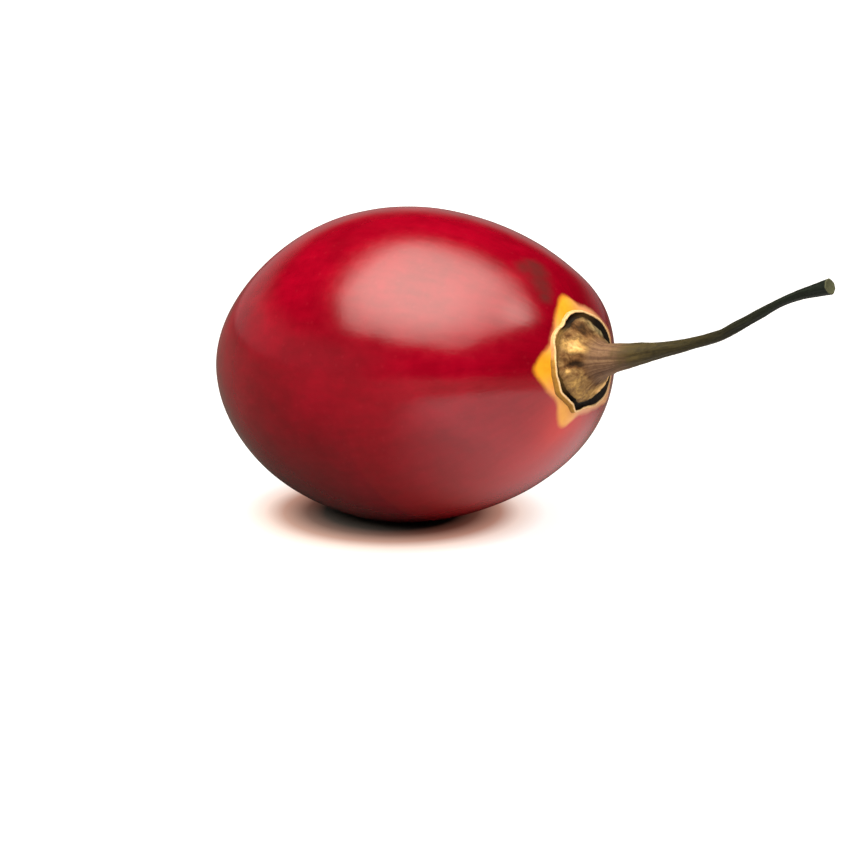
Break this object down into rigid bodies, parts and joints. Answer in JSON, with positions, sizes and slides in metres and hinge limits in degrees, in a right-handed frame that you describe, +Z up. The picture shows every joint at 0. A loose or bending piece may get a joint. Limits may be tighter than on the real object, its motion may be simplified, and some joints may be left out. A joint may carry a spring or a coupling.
{
  "type": "tamarillo",
  "caption": "Whole red tamarillo lying on its side: an egg-shaped glossy fruit with a dried, lobed calyx and a slender bent stem.",
  "frame": {"origin": "middle of the small flat spot that the fruit rests on", "axes": "+X from the blossom tip towards the stem end, +Z up from the surface that the fruit lies on; the fruit's own axis lies in the XZ plane and rises 9.3 degrees towards the stem"},
  "size_m": [0.1105, 0.048, 0.0478],
  "materials": {
    "tamarillo_skin": "smooth waxy fruit skin with a soft gloss",
    "dry_calyx": "dry matt plant tissue, papery at the rim",
    "stem_bark": "dry matt bark"
  },
  "bodies": {
    "root": {"fruit": "tamarillo_skin", "calyx": "dry_calyx", "stem": "stem_bark"}
  },
  "joints": []
}
